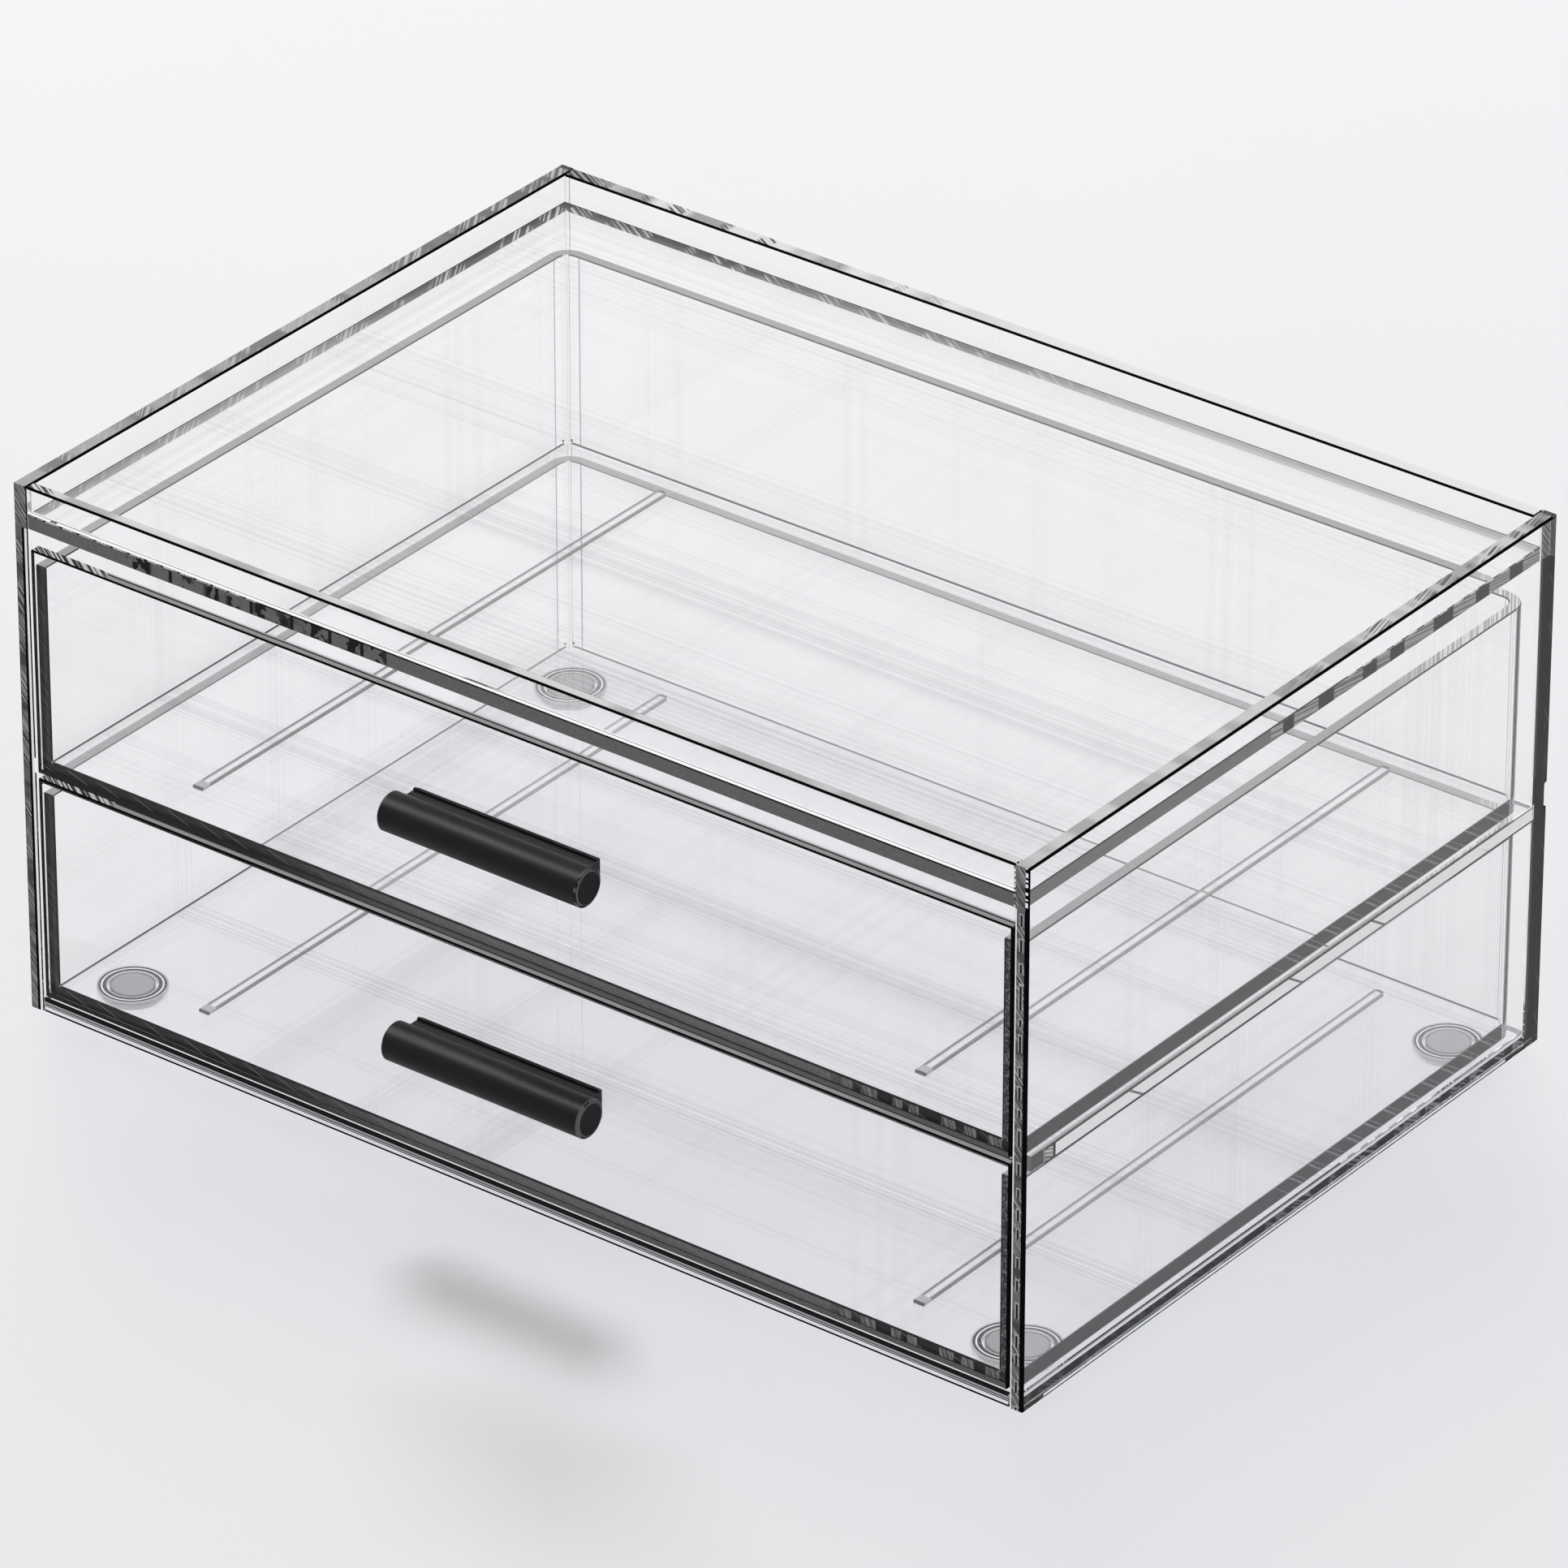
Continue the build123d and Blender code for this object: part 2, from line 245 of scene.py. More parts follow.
class Sheet(Nodes):
    """Clear sheet whose flat ends are painted as the photograph's sawn edges look."""

    # Much of that paint is painted shade and painted light, the black and white that reflections
    # inside the sheet give its edges
    def __init__(self, node, reflection_lines=0.0):
        super().__init__(node)
        normal = self.add("ShaderNodeNewGeometry").outputs["True Normal"]
        self.facing = [self.math("ABSOLUTE", part) for part in self.split(normal)]
        self.low, self.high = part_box(node)
        self.colour = CLEAR
        self.rough = 0.0
        self.through = 1.0
        if reflection_lines:
            self.streaks(reflection_lines)

    def streaks(self, strength):
        """Clusters of faint straight lines of painted reflection, as reflections between the sheets
        leave them.
        """
        lies_flat = self.above(self.facing[Z], FLAT)
        lines_over_depth = self.blend(lies_flat, LINES_UPRIGHT, LINES_LYING)
        piece_shift = self.low.z * PIECE_STEP + self.low.x
        for axis, share in ((X, LINES), (Y, lines_over_depth), (Z, LINES)):
            if self.high[axis] - self.low[axis] < SHORT_SIDE:
                continue
            place = self.math("ADD", self.at[axis], piece_shift)
            fine = self.ease(self.noise_1d(place, LINE_PITCH, detail=2.0), *LINE_NOISE)
            cluster = self.ease(self.noise_1d(place, CLUSTER_PITCH), *CLUSTER_NOISE)
            band = self.both(fine, cluster, strength, share)
            self.colour = self.tint(band, self.colour, REFLECTION_GREY)

    def end(self, axis, at):
        """1 on the flat face across an axis that lies at this place on it."""
        return self.both(self.above(self.facing[axis], FLAT), self.near(axis, at, SKIN))

    def ramp(self, axis, start, stop):
        """0 at start, 1 at stop, both in millimetres from the piece's low end."""
        origin = self.low[axis]
        return self.ease(self.at[axis], origin + start * MM, origin + stop * MM)

    def stretch(self, axis, start, stop):
        """1 from start to stop, both in millimetres from the piece's low end."""
        origin = self.low[axis]
        return self.between(self.at[axis], origin + start * MM, origin + stop * MM)

    def level(self, axis):
        """0 at the piece's low end of an axis, 1 at its high end."""
        low = self.low[axis]
        return self.math("DIVIDE", self.math("SUBTRACT", self.at[axis], low), self.high[axis] - low)

    def paint(self, mask, grey, through=0.0):
        """Covers the clear sheet where the mask is 1, and lets this share of it show."""
        if isinstance(grey, float):
            grey = (grey, grey, grey * BLUER)
        self.colour = self.tint(mask, self.colour, grey)
        self.rough = self.blend(mask, self.rough, EDGE_ROUGHNESS)
        self.through = self.blend(mask, self.through, through)

    def line(self, first, at_first, second, at_second, width, grey=BLACK, only=None):
        """An outline of painted shade along one edge of the sheet, drawn on both faces that meet
        there: the dark line that refraction and reflection inside the sheet show.
        """
        mask = self.both(self.near(first, at_first, width), self.near(second, at_second, width))
        if only is not None:
            mask = self.both(mask, only)
        self.paint(mask, grey)

    def made(self):
        """A Principled surface that lets lamps and soft light pass as clear sheet does."""
        body = self.add("ShaderNodeBsdfPrincipled")
        self.put(self.colour, body.inputs["Base Color"])
        self.put(self.rough, body.inputs["Roughness"])
        self.put(self.through, body.inputs["Transmission Weight"])
        self.put(MIRROR, body.inputs["Specular Tint"])
        body.inputs["IOR"].default_value = ACRYLIC_IOR
        body.inputs["Specular IOR Level"].default_value = 0.0  # sawn edges don't mirror
        path = self.add("ShaderNodeLightPath")
        passing = self.either(path.outputs["Is Shadow Ray"], path.outputs["Is Diffuse Ray"])
        window = self.add("ShaderNodeBsdfTransparent")
        self.put(LAMP_TINT, window.inputs["Color"])
        surface = self.add("ShaderNodeMixShader")
        for part, socket in zip((passing, body.outputs[0], window.outputs[0]), surface.inputs):
            self.put(part, socket)
        out = self.add("ShaderNodeOutputMaterial")
        self.put(surface.outputs[0], out.inputs["Surface"])
        return self.material


def dress(obj, mat):
    obj.data.materials.clear()
    obj.data.materials.append(mat)


# ---------------------------------------------------------------- side walls

def wall_front(wall, right, outer, upper, lower, marks):
    """Sawn front edge: bright and black strips of painted light and painted shade, and slots and
    dashes on the right wall.
    """
    z = wall.at[Z]
    depth = wall.math("ABSOLUTE", wall.math("SUBTRACT", wall.at[X], outer))
    front = wall.end(Y, wall.low.y)
    sawn = wall.blend(wall.patches(z, pitch=7 * MM), SLATE, MIDDLE)
    sawn = wall.blend(wall.both(marks, wall.patches(z, pitch=12 * MM, share=0.6)), sawn, PALE)
    wall.paint(front, sawn)
    if right:
        dashed_to, black_to, bright_from = 1.1 * MM, 1.2 * MM, 3.4 * MM
        strip = wall.both(front, upper, wall.below(depth, dashed_to))
        dashes = wall.blocks(z, period=1.6 * MM, share=0.5)
        wall.paint(strip, wall.blend(dashes, WHITE, BLACK))
        for share, start, stop, grey in WALL_SLOTS:
            slots = wall.both(front, lower, wall.blocks(z, period=6.5 * MM, share=share))
            wall.paint(wall.both(slots, wall.between(depth, start * MM, stop * MM)), grey)
        black = wall.below(depth, black_to)
    else:
        black_from, bright_from = 2.2 * MM, 3.0 * MM
        black = wall.between(depth, black_from, bright_from)
    # Painted shade and painted light: a black strip and a white strip across the edge's depth, as
    # reflections inside the sheet show them
    wall.paint(wall.both(front, lower, black), BLACK)
    wall.paint(wall.both(front, lower, wall.above(depth, bright_from)), WHITE)


def wall_top(wall, right, outer, inner):
    """Top edge: worn stretches with leaning saw bars, and an outline along each side."""
    x, y = wall.at[X], wall.at[Y]
    top = wall.high.z
    if right:
        bars = wall.hatch(y, x, pitch=3.4 * MM, lean=4.5)
        rear = wall.ramp(Y, start=70, stop=150)
        bright = 0.62
        patchy = wall.blend(wall.patches(y, pitch=16 * MM), bright, PALE)
        patchy = wall.blend(wall.both(bars, wall.patches(y, pitch=9 * MM), rear), patchy, MIDDLE)
    else:
        bars = wall.hatch(y, x, pitch=1.7 * MM, lean=1.6, share=0.45)
        rear = wall.ramp(Y, start=110, stop=190)
        dull, rear_grey, bar_grey = 0.24, 0.19, 0.50
        patchy = wall.blend(wall.patches(y, pitch=20 * MM), dull, PALE)
        patchy = wall.blend(rear, patchy, rear_grey)
        patchy = wall.blend(wall.both(bars, wall.patches(y, pitch=11 * MM)), patchy, bar_grey)
    wall.paint(wall.end(Z, top), patchy)
    if right:
        wall.line(X, outer, Z, top, width=0.55 * MM)
        wall.line(X, inner, Z, top, width=0.25 * MM, grey=SLATE)
    else:
        wall.line(X, inner, Z, top, width=0.5 * MM)
        wall.line(X, outer, Z, top, width=0.25 * MM, grey=SLATE)


def wall_rear(wall, upper, marks):
    """Rear edge and its notch: below the top panel, black painted shade with grey nicks; sawn above
    it.
    """
    x, y, z = wall.at
    rear_depth = 1.6 * MM
    nick_grey = 0.05
    behind = wall.above(y, wall.high.y - rear_depth)
    behind = wall.both(behind, wall.below(wall.facing[X], FLAT))
    bars = wall.hatch(z, x, pitch=2.2 * MM, lean=1.2, share=0.3)
    nicks = wall.both(bars, wall.patches(z, pitch=12 * MM, share=0.3))
    nicked = wall.blend(nicks, BLACK, nick_grey)
    wall.paint(behind, wall.blend(upper, nicked, wall.blend(marks, SLATE, MIDDLE)))


def wall_foot_line(wall, outer, painted_shade):
    """Painted light and shadow low on the outer face: a bright line over a dotted dark line of
    painted shadow.
    """
    y, z = wall.at[Y], wall.at[Z]
    front_margin, rear_margin = 8 * MM, 14 * MM
    dark_height, bright_top = 0.60, 1.3
    long_way = wall.between(y, wall.low.y + front_margin, wall.high.y - rear_margin)
    beam = wall.stretch(Z, start=dark_height, stop=bright_top)
    wall.paint(wall.both(wall.end(X, outer), beam, long_way), WHITE)
    # The dotted dark line is painted shadow under the wall
    low_down = wall.below(z, wall.low.z + dark_height * MM)
    wall.paint(wall.both(wall.near(X, outer, SKIN), low_down), painted_shade)


def side_wall_sheet(node):
    """Both end walls: sawn front, rear, top and bottom edges round clear sheet."""
    right = "right" in node
    wall = Sheet(node, reflection_lines=0.5)
    low, high = wall.low, wall.high
    x, y, z = wall.at
    outer, inner = (high.x, low.x) if right else (low.x, high.x)
    lower = wall.below(z, TOP_PANEL_BASE)
    upper = wall.above(z, TOP_PANEL_BASE)
    marks = wall.hatch(z, x, pitch=0.9 * MM, lean=1.3, share=0.3)
    wall_front(wall, right, outer, upper, lower, marks)
    wall_top(wall, right, outer, inner)
    blots = wall.hatch(y, x, pitch=2.6 * MM, lean=1.5, share=0.35)
    patched = wall.both(blots, wall.patches(y, pitch=18 * MM, share=0.6))
    # The bottom edge, under the wall, is painted shade: black with grey patches
    wall.paint(wall.end(Z, low.z), wall.blend(patched, BLACK, MIDDLE))
    wall_rear(wall, upper, marks)
    for at in (inner, outer):
        wall.line(X, at, Y, high.y, width=0.4 * MM, only=lower)
    if right:
        wall_foot_line(wall, outer, wall.blend(blots, BLACK, MIDDLE))
    wall.line(Y, low.y, X, outer, width=0.35 * MM)
    return wall.made()


# ---------------------------------------------------------------- panels of the case

def back_sheet(node):
    """Back panel: hatched at the left end of its top edge and brighter to the right."""
    panel = Sheet(node, reflection_lines=0.5)
    low, high = panel.low, panel.high
    x, y, z = panel.at
    dull, bright, right_end, bar_grey = 0.38, 0.75, 0.80, 0.34
    bars = panel.hatch(x, y, pitch=1.6 * MM, lean=1.8)
    barred = panel.both(bars, panel.patches(x, pitch=9 * MM, share=0.3))
    pale = panel.blend(panel.patches(x, pitch=24 * MM), dull, bright)
    pale = panel.blend(barred, pale, MIDDLE)
    pale = panel.blend(panel.ramp(X, start=60, stop=160), pale, right_end)
    corner = panel.ramp(X, start=16, stop=8)
    sawn = panel.blend(bars, SLATE, bar_grey)
    panel.paint(panel.end(Z, high.z), panel.blend(corner, pale, sawn))

    mark_grey = 0.3
    upper = panel.above(z, TOP_PANEL_BASE)
    marks = panel.hatch(z, y, pitch=0.9 * MM, lean=1.3, share=0.4)
    # The right end is painted shade: black below the top panel, where it shows through the right
    # wall; sawn grey above
    side = panel.blend(upper, BLACK, panel.blend(marks, SLATE, mark_grey))
    panel.paint(panel.end(X, high.x), side)
    panel.line(Y, low.y, Z, high.z, width=0.5 * MM)
    panel.line(X, low.x, Y, low.y, width=0.25 * MM, grey=DARK)
    return panel.made()


def panel_front(panel):
    """Front edge of the top panel: grained grey, with black blots near its left end."""
    x, z = panel.at[X], panel.at[Z]
    dull, bright, blot_grey = 0.12, 0.18, 0.02
    ticks = panel.scratches(x, z, pitch=13 * MM, lean=0.0, width=0.5 * MM)
    spots = panel.above(panel.noise_3d(scale=330, detail=4.0), limit=0.50)
    blots = panel.both(spots, panel.patches(x, pitch=12 * MM, share=0.6))
    smears = panel.both(panel.either(ticks, blots), panel.stretch(X, start=30, stop=110))
    edge = panel.blend(panel.noise_3d(scale=900), dull, bright)
    panel.paint(panel.end(Y, panel.low.y), panel.blend(smears, edge, blot_grey))


def panel_sides(panel):
    """Right, left and rear edges of the top panel."""
    low, high = panel.low, panel.high
    x, y, z = panel.at
    rear_from = 96 * MM
    block_dull, rear_dull, rear_bright = 0.12, 0.14, 0.19
    grain = panel.hatch(z, y, pitch=0.5 * MM, lean=0.12)
    block = panel.blend(grain, block_dull, PALE)
    right = panel.blend(panel.blocks(y, period=15 * MM, share=0.42), block, BLACK)
    rear_half = panel.blend(panel.noise_3d(scale=900), rear_dull, rear_bright)
    right = panel.blend(panel.above(y, low.y + rear_from), rear_half, right)
    panel.paint(panel.end(X, high.x), right)

    front_grey, rear_grey, bar_grey = 0.24, 0.05, 0.7
    bars = panel.hatch(y, z, pitch=1.6 * MM, lean=1.4, share=0.35)
    left = panel.blend(panel.ramp(Y, start=110, stop=150), front_grey, rear_grey)
    barred = panel.both(bars, panel.patches(y, pitch=9 * MM, share=0.45))
    panel.paint(panel.end(X, low.x), panel.blend(barred, left, bar_grey))

    bars = panel.hatch(x, z, pitch=1.5 * MM, lean=1.4, share=0.4)
    barred = panel.both(bars, panel.patches(x, pitch=14 * MM))
    panel.paint(panel.end(Y, high.y), panel.blend(barred, SLATE, PALE))


def panel_bands(panel):
    """Painted reflection: the sawn ends, as seen through the top face with their mirror image in
    its underside, painted on the top face as a band along its rear and left.
    """
    low, high = panel.low, panel.high
    x, y = panel.at[X], panel.at[Y]
    over = panel.end(Z, high.z)
    shows_through = 0.3
    bar_grey = 0.6

    left_grey, middle_grey, right_grey = 0.14, 0.30, 0.62
    bars = panel.hatch(x, y, pitch=1.7 * MM, lean=1.6, share=0.35)
    barred = panel.both(bars, panel.patches(x, pitch=13 * MM))
    grey = panel.blend(panel.ramp(X, start=50, stop=90), left_grey, middle_grey)
    grey = panel.blend(barred, grey, bar_grey)
    grey = panel.blend(panel.ramp(X, start=110, stop=200), grey, right_grey)
    band = panel.both(over, panel.near(Y, high.y, reach=4.0 * MM))
    panel.paint(band, grey, through=shows_through)

    front_grey, rear_grey = 0.38, 0.13
    bars = panel.hatch(y, x, pitch=1.7 * MM, lean=1.6, share=0.35)
    barred = panel.both(bars, panel.patches(y, pitch=13 * MM))
    grey = panel.blend(panel.ramp(Y, start=90, stop=170), front_grey, rear_grey)
    grey = panel.blend(barred, grey, bar_grey)
    band = panel.both(over, panel.near(X, low.x, reach=3.6 * MM))
    panel.paint(band, grey, through=shows_through)


def top_sheet(node):
    """Top panel, the floor of the open tray."""
    panel = Sheet(node, reflection_lines=0.5)
    panel_front(panel)
    panel_sides(panel)
    panel_bands(panel)
    panel.line(X, panel.low.x, Z, panel.high.z, width=0.5 * MM)
    panel.line(Y, panel.high.y, Z, panel.high.z, width=0.5 * MM)
    return panel.made()


def floor_sheet(node):
    """Floor panel: bright and dark lines of painted light and painted shade on its front edge, and
    side edges of dark painted shade with blots and bright bands.
    """
    panel = Sheet(node, reflection_lines=0.6)
    low, high = panel.low, panel.high
    x, y, z = panel.at
    level = panel.level(Z)
    front = panel.end(Y, low.y)
    panel.paint(front, DARK)
    for start, stop, grey in FLOOR_FRONT_BANDS:
        panel.paint(panel.both(front, panel.between(level, start, stop)), grey)
    broken = panel.patches(x, pitch=40 * MM, share=0.6)
    thin_band = panel.between(level, low=0.40, high=0.43)
    panel.paint(panel.both(front, broken, thin_band), PALE)
    panel.line(Y, low.y, Z, low.z, width=0.72 * MM)
    panel.line(Y, low.y, Z, high.z, width=0.45 * MM, grey=DARK)

    # The side edges are painted shade, black with grey marks and paler towards the rear, under
    # bands of painted light
    front_grey, rear_grey = 0.06, 0.22
    sides = panel.either(panel.end(X, low.x), panel.end(X, high.x))
    marks = panel.hatch(y, z, pitch=1.8 * MM, lean=1.8, share=0.4)
    blots = panel.above(panel.noise_3d(scale=380, detail=4.0), limit=0.53)
    patched = panel.patches(y, pitch=9 * MM, share=0.55)
    patchy = panel.both(panel.either(marks, blots), patched)
    worn_grey = panel.blend(panel.ramp(Y, start=90, stop=120), front_grey, rear_grey)
    panel.paint(sides, panel.blend(patchy, BLACK, worn_grey))
    for start, stop, grey in FLOOR_SIDE_BANDS:
        panel.paint(panel.both(sides, panel.between(level, start, stop)), grey)
    panel.paint(panel.end(Y, high.y), MIDDLE, through=0.4)
    return panel.made()


def shelf_sheet(node):
    """The shelf between the drawers, whose front edge, painted shade that is near-black at the
    left, closes the dark band over the gap.
    """
    shelf = Sheet(node, reflection_lines=0.5)
    low, high = shelf.low, shelf.high
    y, z = shelf.at[Y], shelf.at[Z]
    left_grey, dull = 0.008, 0.07
    grain = shelf.noise_3d(scale=1400, detail=2.0)
    middle = shelf.ease(shelf.level(X), **PALER)
    face = shelf.blend(middle, left_grey, shelf.blend(grain, dull, MIDDLE))
    shelf.paint(shelf.near(Y, low.y, reach=0.4 * MM), face)

    sides = shelf.either(shelf.end(X, low.x), shelf.end(X, high.x))
    ticks = shelf.scratches(y, z, pitch=23 * MM, lean=1.5, width=0.5 * MM)
    nicks = shelf.both(ticks, shelf.patches(y, pitch=30 * MM))
    shelf.paint(sides, shelf.blend(nicks, WHITE, MIDDLE))

    # Where the grooves in the side walls stop
    groove_stop = 9 * MM
    stop_grey = 0.60
    stop_marks = shelf.hatch(z, y, pitch=0.8 * MM, lean=0.4)
    stop = shelf.both(sides, shelf.below(y, low.y + groove_stop))
    shelf.paint(stop, shelf.blend(stop_marks, stop_grey, MIDDLE))
    shelf.paint(shelf.both(sides, shelf.stretch(Y, start=8.2, stop=9.2)), BLACK)

    for at in (low.x, high.x):
        shelf.line(X, at, Z, high.z, width=0.4 * MM, grey=DARK)
        shelf.line(X, at, Z, low.z, width=0.4 * MM, grey=DARK)
    shelf.paint(shelf.end(Y, high.y), grey=0.3, through=0.3)
    return shelf.made()


def rim_sheet(node):
    """Strip across the front of the open tray, pale on top with a hatched left end."""
    rim = Sheet(node, reflection_lines=0.4)
    low, high = rim.low, rim.high
    x, y = rim.at[X], rim.at[Y]
    dull, bright = 0.48, 0.72
    bars = rim.hatch(x, y, pitch=1.8 * MM, lean=1.8)
    start = rim.ramp(X, start=9, stop=5)
    pale = rim.blend(rim.patches(x, pitch=30 * MM), dull, bright)
    pale = rim.blend(rim.both(start, bars), pale, SLATE)
    rim.paint(rim.end(Z, high.z), pale, through=0.15)
    rim.line(Y, low.y, Z, high.z, width=0.5 * MM)
    rim.line(Y, high.y, Z, high.z, width=0.3 * MM, grey=SLATE)
    return rim.made()


# ---------------------------------------------------------------- drawers

def front_sheet(node):
    """A drawer's front: outlined, with a hatched start to its banded top edge, and painted shade
    along its underside.
    """
    front = Sheet(node, reflection_lines=0.5)
    low, high = front.low, front.high
    x, y = front.at[X], front.at[Y]
    top_grey, bar_dark, bar_bright, band_grey = 0.30, 0.04, 0.55, 0.05
    band_start, band_stop = 1.7 * MM, 2.3 * MM
    top = front.end(Z, high.z)
    depth = front.math("SUBTRACT", y, low.y)
    bars = front.hatch(x, y, pitch=1.5 * MM, lean=1.5)
    start = front.ramp(X, start=25, stop=20)
    hatched = front.blend(bars, bar_dark, bar_bright)
    front.paint(top, front.blend(start, top_grey, hatched))
    later = front.both(top, front.below(start, 0.5))
    front.paint(front.both(later, front.between(depth, band_start, band_stop)), band_grey)
    front.paint(front.both(later, front.above(depth, band_stop)), PALE)
    front.paint(front.either(front.end(X, low.x), front.end(X, high.x)), BLACK)
    front.line(Y, low.y, Z, high.z, width=0.40 * MM)
    front.line(X, low.x, Y, low.y, width=0.45 * MM)
    front.line(X, high.x, Y, low.y, width=0.35 * MM)

    # Painted shade along the underside, in the gap between the drawers: near-black at the left,
    # paler to the right
    under_left, under_right = 0.008, 0.09
    along = front.ease(front.level(X), **PALER)
    painted_shade = front.blend(along, under_left, under_right)
    front.paint(front.near(Z, low.z, reach=0.32 * MM), painted_shade)
    return front.made()


def tray_front(tray, floor_top):
    """The sawn U, painted dark as the shade that it mirrors: nearly black at the left, grained in
    the middle, blocked at the right.
    """
    x, z = tray.at[X], tray.at[Z]
    left_grey, dull, bright, scratch_grey = 0.006, 0.07, 0.17, 0.17
    face = tray.end(Y, tray.low.y)
    along = tray.level(X)
    middle = tray.blend(tray.noise_3d(scale=1400, detail=2.0), dull, bright)
    base = tray.blend(tray.ease(along, **PALER), left_grey, middle)
    right = tray.ease(along, low=0.80, high=0.86)
    right_dull, right_bright = 0.07, 0.20
    right_hatch = tray.hatch(x, z, pitch=1.0 * MM, lean=0.3)
    base = tray.blend(right, base, tray.blend(right_hatch, right_dull, right_bright))
    right_blocks = tray.both(right, tray.blocks(x, period=7 * MM, share=0.45))
    base = tray.blend(right_blocks, base, BLACK)
    marks = tray.scratches(x, z, pitch=11 * MM, lean=3.0, width=0.22 * MM)
    tray.paint(face, tray.blend(marks, base, scratch_grey))

    upright_dark, upright_grey, speckle_grey = 0.018, 0.05, 0.14
    upright = tray.both(face, tray.above(z, floor_top))
    rise = tray.hatch(z, x, pitch=1.2 * MM, lean=1.2, share=0.3)
    tray.paint(upright, tray.blend(rise, upright_dark, upright_grey))
    right_side = tray.both(upright, tray.above(along, limit=0.5))
    speckle = tray.above(tray.noise_3d(scale=1700, detail=2.0), limit=0.55)
    tray.paint(tray.both(right_side, speckle), speckle_grey)
    dots_start, dots_stop = 0.2 * MM, 0.7 * MM
    dots = tray.blocks(z, period=4.2 * MM, share=0.7)
    dotted = tray.both(right_side, dots, tray.near(X, tray.high.x, reach=dots_stop))
    tray.paint(tray.both(dotted, tray.below(x, tray.high.x - dots_start)), WHITE)


def tray_lines(tray, floor_top):
    """Outlines of the front, the floor's joint, the walls' tops and the two bends."""
    low, high = tray.low, tray.high
    joint_grey, top_grey, bend_grey = 0.16, 0.12, 0.6
    overlap = 0.3 * MM
    inner_low = low.x + TRAY_SHEET
    inner_high = high.x - TRAY_SHEET
    inner_back = high.y - TRAY_SHEET
    inside = tray.between(tray.at[X], inner_low - overlap, inner_high + overlap)
    tray.line(Y, low.y, Z, floor_top, width=0.4 * MM, only=inside)
    tray.line(Y, low.y, Z, low.z, width=0.35 * MM)
    for at in (inner_low, inner_high):
        tray.line(Y, low.y, X, at, width=0.35 * MM, only=tray.above(tray.at[Z], floor_top))
        tray.line(X, at, Z, floor_top, width=0.35 * MM, grey=joint_grey)
        tray.line(X, at, Z, high.z, width=0.3 * MM, grey=top_grey)
    tray.line(Y, inner_back, Z, floor_top, width=0.35 * MM, grey=joint_grey)
    tray.line(Y, inner_back, Z, high.z, width=0.3 * MM, grey=top_grey)
    for at, inward in ((low.x, TRAY_BEND), (high.x, -TRAY_BEND)):
        tray.line(X, at, Z, high.z, width=0.35 * MM, grey=top_grey)
        tray.line(X, at, Z, low.z, width=0.3 * MM, grey=joint_grey)
        tray.line(X, at, Y, high.y - TRAY_BEND, width=0.2 * MM, grey=bend_grey)
        tray.line(X, at + inward, Y, high.y, width=0.2 * MM, grey=bend_grey)
    tray.line(Y, high.y, Z, high.z, width=0.35 * MM, grey=top_grey)


def tray_lip(tray):
    """Top edge of the walls, with white bars at the rear right corner."""
    x, y = tray.at[X], tray.at[Y]
    low_end, high_end = tray.high.y - 60 * MM, tray.high.y - 30 * MM
    left_end, right_end = tray.high.x - 16 * MM, tray.high.x - 10 * MM
    bars = tray.hatch(y, x, pitch=1.5 * MM, lean=1.5)
    corner = tray.both(tray.ease(y, low_end, high_end), tray.ease(x, left_end, right_end))
    rim = tray.blend(tray.both(bars, corner), PALE, WHITE)
    lies_flat = tray.above(tray.facing[Z], FLAT)
    lip = tray.both(lies_flat, tray.near(Z, tray.high.z, reach=0.3 * MM))
    tray.paint(lip, rim, through=0.45)


def tray_sheet(node):
    """A drawer's tray: a dark sawn U in front, bent walls and a joint line round the floor."""
    tray = Sheet(node, reflection_lines=0.9)
    floor_top = tray.low.z + TRAY_SHEET
    tray_front(tray, floor_top)
    tray_lines(tray, floor_top)
    tray_lip(tray)
    return tray.made()


def strip_sheet(node):
    """A slide strip: grey outline and front end, clear middle."""
    strip = Sheet(node)
    low, high = strip.low, strip.high
    side_width, end_length = 0.55 * MM, 3 * MM
    side_dull, side_bright, end_dull, end_bright = 0.20, 0.32, PALE, 0.58
    grain = strip.noise_3d(scale=1500)
    for side in (low.x, high.x):
        grey = strip.blend(grain, side_dull, side_bright)
        strip.paint(strip.near(X, side, side_width), grey, through=0.1)
    front_end = strip.below(strip.at[Y], low.y + end_length)
    strip.paint(front_end, strip.blend(grain, end_dull, end_bright), through=0.1)
    front_line = strip.near(Y, low.y, reach=0.4 * MM)
    rear_line = strip.near(Y, high.y, reach=0.5 * MM)
    strip.paint(strip.either(front_line, rear_line), SLATE)
    return strip.made()


# ---------------------------------------------------------------- round pieces

def ringed(made, node, axes):
    """Distance from the piece's middle across two axes, as a share of its radius."""
    low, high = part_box(node)
    squares = []
    for axis in axes:
        offset = made.math("SUBTRACT", made.at[axis], (low[axis] + high[axis]) / 2)
        squares.append(made.math("POWER", offset, 2))
    distance = made.math("SQRT", made.math("ADD", *squares))
    return made.math("DIVIDE", distance, (high[axes[0]] - low[axes[0]]) / 2)


